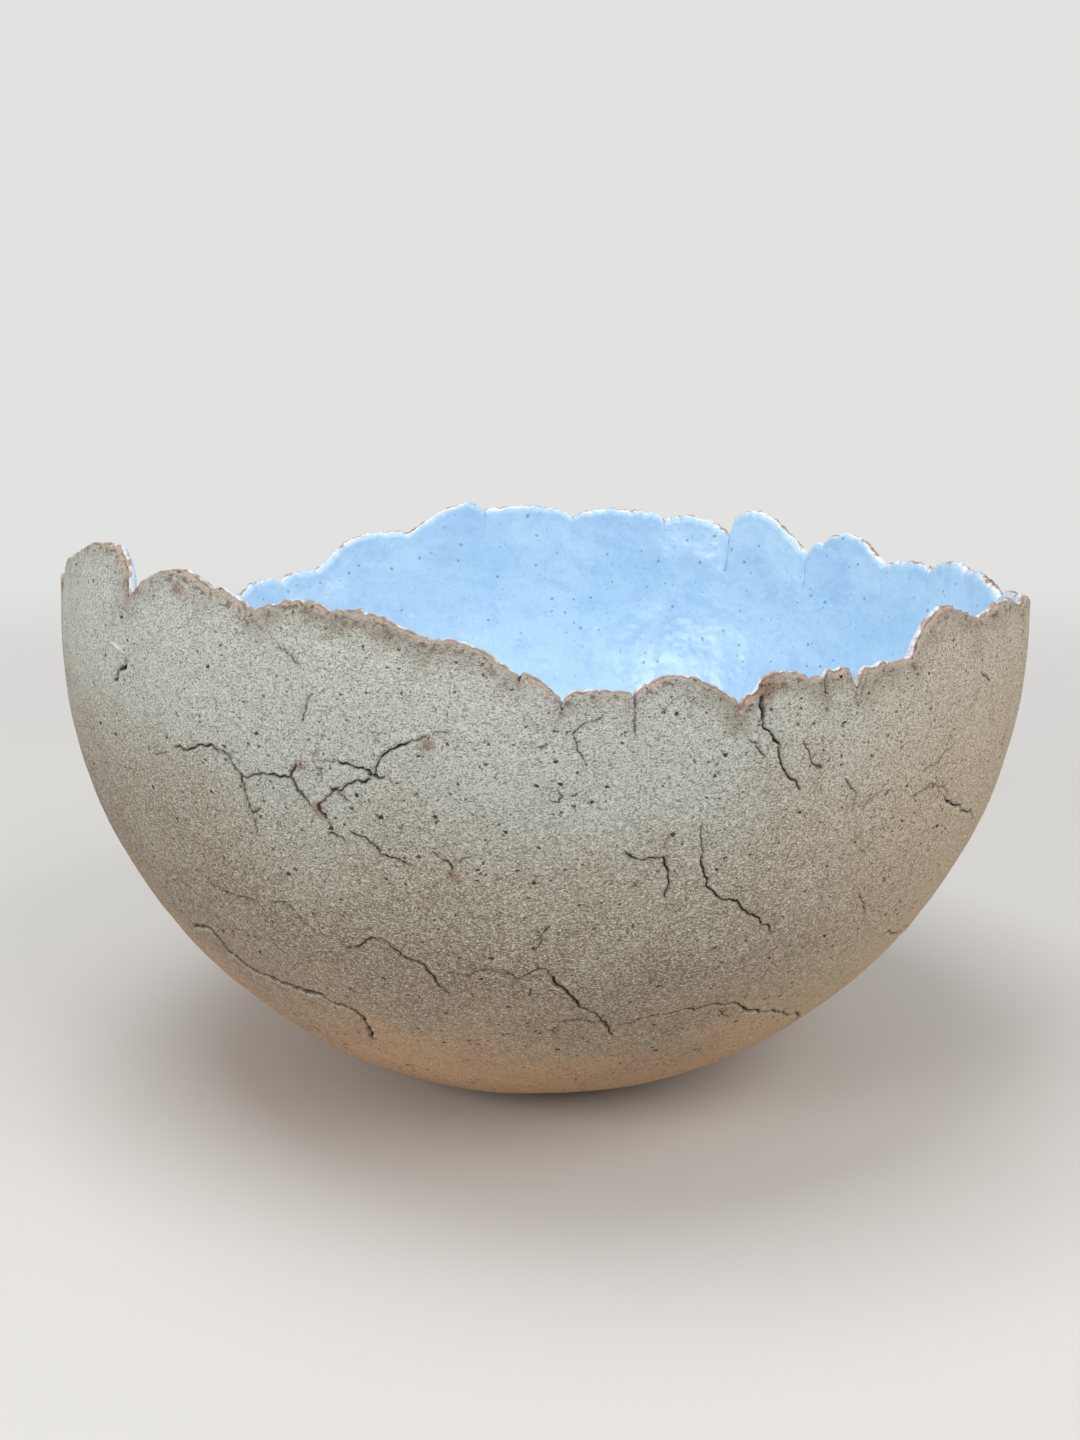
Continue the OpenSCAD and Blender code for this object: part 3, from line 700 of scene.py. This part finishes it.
# the clay body
claySet = {
    "steps": 300,  # round the bowl
    "footGap": 5.0,  # mm between rows under the foot, up to this far from its edge
    "footMargin": 8.0,
    "rowGaps": ((9, 2.6), (3, 1.1), (0, 0.55)),  # more than this many mm below the top, and the gap there
    "lastGap": 0.3,
    "edgeRows": 8,  # over the broken face
    "lipGaps": (0.3, 0.4, 0.5, 0.6, 1.2, 2.0, 4.0),
    "innerGap": 7.0,
    "nearCrack": ((0.7, 0.34), (1.6, 0.75), (4.0, 1.45)),  # within this many mm, edges of this many mm
    "nearRim": ((2.2, 0.5), (5.0, 1.1), (12.0, 1.8)),
    "fineRows": (0.8, 2.02),  # rows that are fine near the rim
    "rimRows": (0.6, 2.2),  # rows that are stained and crumble near the rim
    "crackRows": 1.2,  # the cracks reach up to this row
    "brokenRows": 2.005,  # and the broken face to this one
    "far": (20.0, 30.0),  # mm from a crack and from the rim, where neither is looked for
    "snap": 0.18,  # vertices this near a crack's middle line are moved onto it
    "deep": (0.25, 1.3),  # depth of a crack: so much, and so many times its width
    "groove": (0.85, 0.1),  # how wide it is pressed in: so many times its half width, and so much
    "grooveCurve": 0.8,
    "lip": 0.1,  # height of the clay pushed up beside a crack
    "raised": 0.35,  # height of a pale raised line
    "stepReach": (0.3, 3.0),  # a step is full this far to each side of its crack, and gone this far off
    "skin": ((0.10, 6.0), (0.05, 2.2)),  # roughness: heights and sizes in mm
    "brokenSkin": ((0.26, 2.6), (0.2, 1.1), (0.12, 0.6)),
    "rimRough": (4, 0.12),  # near the rim: how far down, and how much
    "crumbRough": (0.45, 0.3),  # in crumbling places, below the edge and on it
    "roughSizes": (1.2, 1.1),
    # how brown the clay is just below the edge, round the bowl
    "stain": ((30, 0.4), (120, 0.3), (200, 0.3), (222, 0.45), (240, 0.3), (246, 0.9), (262, 0.75),
              (269, 0.35), (280, 0.3), (287, 0.95), (291, 0.9), (296, 0.55), (305, 0.5), (312, 0.4),
              (322, 0.5), (340, 0.3)),
    # crumbling places, and how many mm each reaches
    "crumbs": ((290, 2, 7), (286.5, 2.4, 3), (248.4, -9.8, 3.5), (261.4, -15.5, 3), (259.4, -2.8, 3.5),
               (278, -37, 4), (247, -5.6, 3), (225, 9, 3.5), (232, 9.6, 4)),
}


def clayRows(s):
    rows, at = [0.0], 0.0
    while at < footR - s["footMargin"] * mm:
        at += s["footGap"] * mm
        rows.append(at / outArc)
    while at < outArc:
        left = (outArc - at) / mm
        at += next(gap for above, gap in s["rowGaps"] if left > above) * mm
        if at < outArc - s["lastGap"] * mm:
            rows.append(at / outArc)
    rows += [1 + k / s["edgeRows"] for k in range(s["edgeRows"] + 1)]
    at = 0.0
    for gap in s["lipGaps"]:
        at += gap * mm
        rows.append(2 + at / inArc)
    while at < inArc - 1.5 * s["innerGap"] * mm:  # the last row is the floor's middle
        at += s["innerGap"] * mm
        rows.append(2 + at / inArc)
    return rows + [3.0]


def makeClay(s):
    bm, layer = spinSection(clayRows(s), wallAt, s["steps"], False)

    def target(place, v):
        size = anyLength
        if v < 1:
            size = finestNear(crackTree, place, s["nearCrack"])
        if s["fineRows"][0] < v < s["fineRows"][1]:
            size = min(size, finestNear(rimTree, place, s["nearRim"]))
        return size

    refine(bm, layer, wallAt, target, 4)
    return closeMesh(bm, layer, "bowlClay")


def crackAt(co, s):
    # the nearest crack: distance, half width, darkness, way from it and onto it, and push in or out
    k, distance = crackTree.find(Vector(co))[1:]
    half, tone, step = crackFacts[k]
    d, away = distance / mm, co - crackPlaces[k]
    side = float(np.dot(away, crackSides[k])) / mm
    slide = np.zeros(3)
    if d < s["snap"]:
        slide, d = -away, 0.0
    wide, more = s["groove"]
    groove = max(0.0, 1 - d / (wide * half + more)) ** s["grooveCurve"]
    if tone > 0:
        deep = (s["deep"][0] + s["deep"][1] * 2 * half) * tone
        lip = math.exp(-(((d - 1.5 * half - 0.2) / (0.6 * half + 0.3)) ** 2))
        push = s["lip"] * tone * lip - deep * groove
    else:
        push = s["raised"] * groove
    full, gone = s["stepReach"]
    push -= step / 2 * math.tanh(side / full) * math.exp(-d / gone)
    return d, half, tone, (away + slide) / mm, slide, push


def weatherClay(mesh, rows, s):
    # press in the cracks, crumble the edge and roughen the clay; rows 1 to 2 are the broken face
    co, normals = readPoints(mesh, "co"), readPoints(mesh, "vector")
    count = len(co)
    near, rimNear = np.full(count, s["far"][0]), np.full(count, s["far"][1])
    half, tone, crumble, push, fine = np.zeros((5, count))
    offset, slide = np.zeros((2, count, 3))
    crumbs = [(onSphere(a, l), reach * mm) for a, l, reach in s["crumbs"]]
    stain = ringLookup(ringBends(s["stain"]))(np.arctan2(co[:, 1], co[:, 0]))
    for i in range(count):
        p = Vector(co[i])
        if s["rimRows"][0] < rows[i] < s["rimRows"][1]:
            rimNear[i] = rimTree.find(p)[2] / mm
            crumble[i] = max(max(0.0, 1 - (p - spot).length / reach) for spot, reach in crumbs)
        if rows[i] < s["crackRows"]:
            near[i], half[i], tone[i], offset[i], slide[i], push[i] = crackAt(co[i], s)
        if rows[i] < 1:
            reach, rough = s["rimRough"]
            rough = max(0.0, 1 - rimNear[i] / reach) * rough + crumble[i] * s["crumbRough"][0]
            fine[i] = grain(p, s["skin"]) + grain(p, ((rough, s["roughSizes"][0]),))
        elif rows[i] < s["brokenRows"]:
            rough = crumble[i] * s["crumbRough"][1]
            fine[i] = grain(p, s["brokenSkin"]) + grain(p, ((rough, s["roughSizes"][1]),))
    slide -= np.sum(slide * normals, axis=1)[:, None] * normals
    co += slide
    keep = awayFromFoot(co)
    co += outOf(co) * (handMade(co) * keep)[:, None] + normals * ((push + fine) * mm * keep)[:, None]
    co[:, 2] = np.maximum(co[:, 2], 0)
    writePoints(mesh, co)
    writeMarks(mesh, {"crackNear": near, "crackHalf": half, "crackTone": tone, "crackOffset": offset,
                      "rimNear": rimNear, "crumble": crumble, "stain": stain, "along": rows})


def addPiece(name, mesh):
    piece = addObject(name, mesh)
    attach(piece, "root")
    return piece


clayMesh, clayRow = makeClay(claySet)
weatherClay(clayMesh, clayRow, claySet)
bowlClay = addPiece("bowlClay", clayMesh)
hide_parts("bowl")
print("clay ready")

# the glaze inside
glazeSet = {
    "steps": 240,  # round the bowl
    "thick": 0.42,  # mm the coat stands on the clay, and how far its back is sunk in it
    "sunk": 0.35,
    "edge": -0.25,  # mm below the crest where the coat ends; below 0 it laps over
    "edgeVary": ((0.6, 7.0, 61.0), (0.35, 2.0, 63.0)),
    "edgeMost": 0.9,
    "edgeReach": 8.0,
    "roundOver": 0.45,  # mm from its edge to its full thickness
    "rowGap": 3.2,
    "edgeGaps": (0.12, 0.13, 0.2, 0.3, 0.4, 0.5, 0.7, 0.9, 1.2, 1.5, 2.0, 2.5),
    "backRows": (13, 8, 5, 3, 1.8, 0.9, 0.35),
    "backGap": 9.0,
    "nearRim": ((2.4, 0.55), (5.5, 1.2), (12.0, 2.2)),
    "rimInset": 3.6,  # the coat lies this far in from the outer corner
    "fineReach": 20,  # further than this from the edge the rows stay as they are
    "skin": ((0.10, 2.8), (0.05, 1.2)),  # unevenness near the edge, gone after so many mm
    "skinReach": 14,
    "lookAlong": 0.0015,  # how far to look along and round the wall for the way out of it
    "lookRound": 0.002,
}
coatArc = inArc / mm
coatEdge = ringLookup(np.clip(
    glazeSet["edge"] + varied(glazeSet["edgeVary"]), -glazeSet["edgeMost"], glazeSet["edgeMost"]))


def coatAt(az, w):
    # w in mm runs from the coat's edge down its face to the middle of the floor, then back up behind
    front = w < coatArc + 0.01  # the middle itself belongs to the front
    s = np.where(front, w, 2 * coatArc - w)
    t = s + coatEdge(az) * (1 - smooth(s / glazeSet["edgeReach"]))
    # over the crest the coat goes a little further than straight across the broken face
    faceArc = 1.1 * np.hypot(bevelOf(az), wallSet["crest"] * mm) / mm
    v = np.where(t >= 0, 2 + t / coatArc, 2 + t / faceArc)
    p = wallAt(az, v)
    step, turn, nothing = glazeSet["lookAlong"], glazeSet["lookRound"], 1e-12
    up = wallAt(az, np.minimum(v + step, 3)) - wallAt(az, np.maximum(v - step, 1))
    out = np.cross(wallAt(az + turn, v) - wallAt(az - turn, v), up)
    length = np.linalg.norm(out, axis=1)[:, None]
    inward = -outOf(p)
    out = np.where(length > nothing, out / np.maximum(length, nothing), inward)
    inwardAndUp = inward + np.array([0, 0, 0.6])
    out[np.sum(out * inwardAndUp, axis=1) < 0] *= -1
    swell = np.sqrt(1 - (1 - np.clip(s / glazeSet["roundOver"], 0, 1)) ** 2)
    rise = np.where(front, glazeSet["thick"], -glazeSet["sunk"]) * swell
    return p + out * (rise * mm)[:, None]


def coatRows(s):
    rows, at = [0.0], 0.0
    for gap in s["edgeGaps"]:
        at += gap
        rows.append(at)
    while at < coatArc - 1.4 * s["rowGap"]:
        at += s["rowGap"]
        rows.append(at)
    back = np.arange(s["backRows"][0] + s["backGap"], coatArc - s["backGap"] / 2, s["backGap"])[::-1]
    return rows + [coatArc] + [2 * coatArc - w for w in list(back) + list(s["backRows"])]


def makeGlaze(s):
    bm, layer = spinSection(coatRows(s), coatAt, s["steps"], True)

    def target(place, w):
        if s["fineReach"] < w < 2 * coatArc - s["fineReach"]:
            return anyLength
        return finestNear(rimTree, place, s["nearRim"], s["rimInset"])

    refine(bm, layer, coatAt, target, 3)
    return closeMesh(bm, layer, "glazeCoat")


def finishGlaze(mesh, rows, s):
    co = readPoints(mesh, "co")
    fine = np.zeros(len(co))
    for i in np.nonzero(rows < s["skinReach"])[0]:
        fine[i] = grain(Vector(co[i]), s["skin"]) * (1 - rows[i] / s["skinReach"])
    co += outOf(co) * (handMade(co) * awayFromFoot(co) - fine * mm)[:, None]
    writePoints(mesh, co)
    writeMarks(mesh, {"fromEdge": rows})


glazeMesh, glazeRow = makeGlaze(glazeSet)
finishGlaze(glazeMesh, glazeRow, glazeSet)
glazeCoat = addPiece("glazeCoat", glazeMesh)
print("glaze ready")


# materials
class Wire:
    # a socket that can stand in sums
    def __init__(self, bench, socket):
        self.bench, self.socket = bench, socket

    def sum(self, operation, *values):
        return self.bench.add("ShaderNodeMath", {"operation": operation}, dict(enumerate(values)))

    def __add__(self, other):
        return self.sum("ADD", self, other)

    def __sub__(self, other):
        return self.sum("SUBTRACT", self, other)

    def __rsub__(self, other):
        return self.sum("SUBTRACT", other, self)

    def __mul__(self, other):
        return self.sum("MULTIPLY", self, other)

    __radd__, __rmul__ = __add__, __mul__

    def most(self, other):
        return self.sum("MAXIMUM", self, other)

    def band(self, low, high):
        # a smooth rise from 0 at low to 1 at high, or a fall where low is the greater
        smoothly = {"interpolation_type": "SMOOTHSTEP"}
        return self.bench.add("ShaderNodeMapRange", smoothly, {0: self, 1: low, 2: high})


class Bench:
    # builds the nodes of one material, or of the world
    def __init__(self, owner):
        self.owner = owner
        owner.use_nodes = True
        self.tree = owner.node_tree
        self.tree.nodes.clear()
        if isinstance(owner, bpy.types.Material):
            self.spot = self.add("ShaderNodeTexCoord", out="Object")

    def add(self, kind, settings=None, sockets=None, out=0):
        node = self.tree.nodes.new(kind)
        for key, value in (settings or {}).items():
            setattr(node, key, value)
        for key, value in (sockets or {}).items():
            if isinstance(value, Wire):
                self.tree.links.new(value.socket, node.inputs[key])
            else:
                node.inputs[key].default_value = value
        return Wire(self, node.outputs[out]) if node.outputs else None

    def noise(self, sizeMm, detail=2.0, rough=0.5, out=0, place=None):
        sockets = {"Vector": place or self.spot, "Scale": 1 / (sizeMm * mm)}
        sockets.update({"Detail": detail, "Roughness": rough})
        return self.add("ShaderNodeTexNoise", {}, sockets, out)

    def read(self, name, out="Fac"):
        return self.add("ShaderNodeAttribute", {"attribute_name": name}, out=out)

    def lay(self, base, colours, layers):
        # one colour over another, each with its share
        for name, share in layers:
            base = self.mix(base, colours[name], share)
        return base

    def mix(self, first, second, share):
        kind = {"data_type": "RGBA", "clamp_factor": True}
        return self.add("ShaderNodeMix", kind, {0: share, 6: first, 7: second}, 2)

    def vector(self, operation, values, out=0):
        return self.add("ShaderNodeVectorMath", {"operation": operation}, dict(enumerate(values)), out)

    def part(self, vector, k):
        return self.add("ShaderNodeSeparateXYZ", {}, {0: vector}, k)

    def warped(self, sizeMm, byMm):
        # the place, pushed about, so that what is drawn there has uneven outlines
        push = self.noise(sizeMm, 2, 0.6, "Color")
        return self.vector("MULTIPLY_ADD", (push, (byMm * mm,) * 3, self.spot))

    def cells(self, place, sizeMm, out, feature="F1"):
        sockets = {"Vector": place, "Scale": 1 / (sizeMm * mm)}
        return self.add("ShaderNodeTexVoronoi", {"feature": feature}, sockets, out)

    def specks(self, place, cellMm, radiusMm, vary):
        # 1 inside scattered specks and 0 outside, each with its own size
        pick = self.add("ShaderNodeSeparateColor", {}, {0: self.cells(place, cellMm, "Color")})
        radius = (pick * vary + (1 - vary)) * (radiusMm / cellMm)
        soft = 0.22 * radiusMm / cellMm  # how softly each ends
        return (radius - self.cells(place, cellMm, "Distance")).band(-soft, soft)

    def bump(self, height, reachMm, strength, normal=None):
        sockets = {"Strength": strength, "Distance": reachMm * mm, "Height": height}
        if normal is not None:
            sockets["Normal"] = normal
        return self.add("ShaderNodeBump", {}, sockets)

    def finish(self, sockets):
        shader = self.add("ShaderNodeBsdfPrincipled", {}, sockets)
        self.add("ShaderNodeOutputMaterial", {}, {"Surface": shader})
        return self.owner


def rgb(r, g, b):
    # a colour given as it looks on a screen, 0 to 255
    return tuple(((c / 255 + 0.055) / 1.055) ** 2.4 for c in (r, g, b)) + (1.0,)


clayColours = {
    # cool, dull, low and warm paint light and shade over the clay's sand tone: a cool lit top, then shade
    # and warm bounce light lower down and to the right
    "coolLitTop": rgb(210, 215, 208), "sand": rgb(181, 172, 152), "shadedDull": rgb(143, 125, 101),
    "low": rgb(210, 167, 125), "warmBounceRight": rgb(222, 194, 153), "hair": rgb(86, 72, 60),
    "lightGrain": rgb(236, 234, 226), "darkGrain": rgb(92, 82, 68), "speck": rgb(54, 44, 38),
    "smallSpeck": rgb(82, 65, 50), "rimStain": rgb(134, 116, 94), "pink": rgb(194, 168, 154),
    # the crack colour paints shade in gaps and pits, and the ridge colour paints highlights on lips and
    # raised lines
    "tan": rgb(178, 168, 150), "break": rgb(116, 90, 74), "crack": rgb(56, 43, 34),
    "halo": rgb(134, 116, 96), "paintedHighlight": rgb(238, 234, 226), "crumble": rgb(150, 118, 98),
}
clayLook = {
    "clouds": 40,  # sizes in mm, from slow drifts of tone down to dust
    "patches": 14,
    "mottle": 3.5,
    "grains": 0.54,
    "fibres": 0.46,
    "dust": 0.32,
    "sand": (0.112, 0.082),  # heights in metres between which each tone comes in, going down; dull and low paint shade and warm bounce light
    "shadedDull": (0.09, 0.056),
    "low": (0.064, 0.014),
    "warmBounceRight": (0.025, 0.1),  # metres to the right between which the painted warm bounce light comes in
    "grainFade": (0.015, 0.085),  # the grain fades below these heights
    # specks: colour, spacing and radius in mm, how much they vary, strength
    "specks": (("smallSpeck", 1.5, 0.24, 0.5, 0.6), ("smallSpeck", 2.7, 0.4, 0.6, 0.85),
               ("smallSpeck", 3.4, 0.55, 0.5, 0.85), ("speck", 5.2, 0.62, 0.6, 0.95)),
    "clustered": 3.4,  # the spacing of those that keep together in patches
}


def stonewareMaterial(c, s):
    b = Bench(bpy.data.materials.new("sandyStoneware"))
    x, z = b.part(b.spot, 0), b.part(b.spot, 2)
    clouds, patches, mottle = [b.noise(s[name], 3, 0.6) for name in ("clouds", "patches", "mottle")]
    # partly the clay's own tone, partly painted light: cool and pale high up where the light falls, browner
    # and darker lower down and towards both sides as painted shade and warm bounce light
    height = z - x * x * 1.5 + (clouds - 0.5) * 0.05 + (patches - 0.5) * 0.02
    base = b.lay(c["coolLitTop"], c, [(tone, height.band(*s[tone])) for tone in ("sand", "shadedDull", "low")] + [
        ("warmBounceRight", x.band(*s["warmBounceRight"]) * 0.65),
        ("halo", mottle.band(0.52, 0.75) * 0.15)])
    # sand grains, finer upwards than across, each with its own tone
    flat = b.vector("MULTIPLY", (b.warped(0.9, 0.8), (1, 1, 1.8)))
    grainTone = b.add("ShaderNodeSeparateColor", {}, {0: b.cells(flat, s["grains"], "Color")})
    dust, fibres = b.noise(s["dust"], 3, 0.7), b.noise(s["fibres"], 3, 0.7, place=flat)
    grainFade = height.band(*s["grainFade"]) * 0.65 + 0.35
    # faint broken hairlines, here and there
    web = b.cells(b.warped(2.4, 3.2), 4.4, "Distance", "DISTANCE_TO_EDGE")
    some = b.noise(17, 3, 0.7).band(0.5, 0.62) * b.noise(2.2, 2).band(0.46, 0.56)
    base = b.lay(base, c, [
        ("lightGrain", (grainTone + (dust - 0.5) * 2).band(0.5, 1.15) * grainFade * 0.72),
        ("darkGrain", (1 - grainTone + (dust - 0.5) * 2).band(0.6, 1.2) * grainFade * 0.56),
        ("darkGrain", fibres.band(0.51, 0.61) * grainFade * 0.7),
        ("lightGrain", fibres.band(0.48, 0.36) * grainFade * 0.86),
        ("hair", web.band(0.045, 0.0) * some * 0.55)])
    # towards the broken edge, and the broken face itself
    rimNear, along, crumble = b.read("rimNear"), b.read("along"), b.read("crumble")
    edge = (rimNear + (patches - 0.5) * 10 + (mottle - 0.5) * 5).band(6.5, 0.8)
    base = b.mix(base, c["rimStain"], edge * b.read("stain") * 0.66)
    face = b.lay(c["tan"], c, [
        ("pink", b.noise(7, 3, 0.6).band(0.48, 0.58) * 0.85),
        ("lightGrain", fibres.band(0.5, 0.3) * 0.4),
        ("break", b.noise(0.8, 3, 0.7).band(0.52, 0.72) * 0.7)])
    base = b.mix(base, face, (along + (dust - 0.5) * 0.03).band(0.994, 1.05) * 0.75)
    corner = along.band(0.986, 0.999) * along.band(1.3, 1.03)
    crest = along.band(1.55, 1.8) * along.band(2.01, 2.0)
    pitted = crumble * 1.2 + (b.noise(1.2, 3, 0.7) - 0.5) * 2.2
    base = b.lay(base, c, [
        ("break", corner * b.noise(1.8, 3).band(0.52, 0.64) * 0.7),
        ("break", crest * b.noise(2.2, 3).band(0.42, 0.6) * 0.7),
        ("crumble", pitted.band(0.35, 1.1) * 0.75),
        # the dark pits in crumbling places are painted shade
        ("crack", (crumble + (b.noise(0.8, 2) - 0.5) * 3).band(1.0, 1.3) * 0.8)])
    # dark specks, most of them small
    uneven = b.vector("MULTIPLY", (b.warped(0.7, 1.1), (1, 1, 1.35)))
    for colour, spacing, radius, vary, strength in s["specks"]:
        specks = b.specks(uneven, spacing, radius, vary)
        if spacing == s["clustered"]:
            specks = specks * patches.band(0.47, 0.53)
        base = b.mix(base, c[colour], specks * strength)
    # cracks: painted shade in the gap, with a brownish edge and a painted highlight on the lower lip, where
    # light from above catches it; or a raised line painted pale as a highlight
    aside = b.read("crackOffset", "Vector")
    offset, below = b.vector("LENGTH", (aside,), "Value"), b.part(aside, 2).band(-0.1, -0.45)
    near, half, tone = b.read("crackNear"), b.read("crackHalf"), b.read("crackTone")
    distance = offset + (near - offset) * near.band(0.3, 0.5)
    ragged = (b.noise(0.7, 2) - 0.5) * 0.3 + (dust - 0.5) * 0.15
    distance = distance + ragged * (half * 2.2).most(0.35)
    line = distance.band(half + 0.06, half * 0.4)
    # painted highlight only on the lower side of a crack, which faces the light from above
    lip = distance.band(half + 0.8, half + 0.35) * distance.band(half, half + 0.25) * below
    base = b.lay(base, c, [
        ("halo", distance.band(1.0, 0.1) * tone * 0.28),
        ("paintedHighlight", lip * tone * (half * 3).band(0.2, 1.2) * 0.4),
        ("crack", line * tone.most(0) * 0.92),
        ("paintedHighlight", line * (tone * -1).most(0) * 1.4)])
    relief = b.bump(fibres * 0.7 + dust * 0.6 + grainTone * 0.2, 0.4, 1.0)
    relief = b.bump(mottle, 0.35, 0.5, relief)
    rough = dust * 0.1 + 0.84
    return b.finish({"Base Color": base, "Roughness": rough, "Normal": relief, "Specular IOR Level": 0.25})


glazeColours = {
    "blue": rgb(185, 218, 244), "light": rgb(195, 226, 247), "deep": rgb(172, 205, 238),
    "milk": rgb(203, 229, 246), "dot": rgb(112, 136, 166), "smallDot": rgb(134, 160, 192),
    "cream": rgb(242, 241, 238), "rust": rgb(170, 130, 106),
}


def glazeMaterial(c):
    b = Bench(bpy.data.materials.new("paleBlueGlaze"))
    fromEdge = b.read("fromEdge")
    clouds, mottle, fine = b.noise(26, 3, 0.6), b.noise(7, 4, 0.65), b.noise(1.0, 3, 0.6)
    uneven = b.warped(0.8, 0.9)
    # thin and pale where it breaks near the edge, with a warm stain at the very end
    pale = fromEdge + (mottle - 0.5) * 2.0 + (fine - 0.5) * 0.8
    rust = fromEdge + (b.noise(3.0, 3, 0.65) - 0.5) * 2.6
    base = b.lay(c["blue"], c, [
        ("light", clouds.band(0.4, 0.6)),
        ("deep", mottle.band(0.48, 0.7) * 0.6),
        ("milk", mottle.band(0.46, 0.3) * 0.5),
        ("milk", fine.band(0.5, 0.72) * 0.35),
        ("deep", fine.band(0.5, 0.3) * 0.3),
        ("smallDot", b.specks(uneven, 2.4, 0.36, 0.5) * 0.45),
        ("dot", b.specks(uneven, 4.6, 0.66, 0.6) * 0.65),
        ("cream", pale.band(0.9, 0.45) * 0.7),
        ("rust", rust.band(0.5, 0.0) * 0.85)])
    relief = b.bump(b.noise(9, 2), 1.4, 0.7)
    relief = b.bump(b.noise(2.6, 2), 0.16, 0.5, relief)
    rough = mottle * 0.15 + 0.16
    return b.finish({"Base Color": base, "Roughness": rough, "Normal": relief, "Specular IOR Level": 0.38})


bowlClay.data.materials.append(stonewareMaterial(clayColours, clayLook))
glazeCoat.data.materials.append(glazeMaterial(glazeColours))
print("materials ready")

# floor, light and air
stageSet = {
    "floorR": 12.0,
    "floor": rgb(222, 220, 217),
    "floorRough": 0.9,
    "floorShine": 0.1,
    "air": rgb(226, 226, 225),
    "airLight": 0.4,
    "fade": (0.18, 1.2),  # metres from the middle between which the floor turns to the colour of the air
}


def makeFloor(s):
    bm = bmesh.new()
    bmesh.ops.create_circle(bm, cap_ends=True, radius=s["floorR"], segments=96)
    mesh = bpy.data.meshes.new("floor")
    bm.to_mesh(mesh)
    bm.free()
    floor = addObject("floor", mesh)
    b = Bench(bpy.data.materials.new("paleFloor"))
    away = b.vector("LENGTH", (b.spot,), "Value").band(*s["fade"])
    matt = b.add("ShaderNodeBsdfPrincipled", {}, {
        "Base Color": s["floor"], "Roughness": s["floorRough"], "Specular IOR Level": s["floorShine"]})
    glow = b.add("ShaderNodeEmission", {}, {"Color": s["air"]})
    both = b.add("ShaderNodeMixShader", {}, {0: away, 1: matt, 2: glow})
    b.add("ShaderNodeOutputMaterial", {}, {"Surface": both})
    mesh.materials.append(b.owner)


def makeAir(s):
    # an even light all round, and the camera sees the colour of the air
    world = bpy.data.worlds.new("air")
    bpy.context.scene.world = world
    b = Bench(world)
    direct = b.add("ShaderNodeLightPath", out="Is Camera Ray")
    soft = b.add("ShaderNodeBackground", {}, {"Color": (1, 1, 1, 1), "Strength": s["airLight"]})
    seen = b.add("ShaderNodeBackground", {}, {"Color": s["air"], "Strength": 1.0})
    both = b.add("ShaderNodeMixShader", {}, {0: direct, 1: soft, 2: seen})
    b.add("ShaderNodeOutputWorld", {}, {"Surface": both})


lampAim = (0, 0, 0.07)
lamps = [  # name, place in metres, width, height, watts
    ("overhead", (-0.25, -0.15, 1.5), 0.8, 0.8, 10.0),
    ("frontFill", (1.3, -1.1, 1.4), 1.7, 1.3, 17.3),
    ("windowLeft", (-1.1, -1.1, 0.78), 0.5, 0.5, 6.8),
]


def makeLamps(rows):
    for name, place, width, height, watts in rows:
        data = bpy.data.lights.new(name, "AREA")
        data.shape, data.size, data.size_y, data.energy = "RECTANGLE", width, height, watts
        lamp = addObject(name, data)
        lamp.location = place
        aim(lamp, Vector(lampAim) - Vector(place))


makeFloor(stageSet)
makeAir(stageSet)
makeLamps(lamps)
print("stage ready")
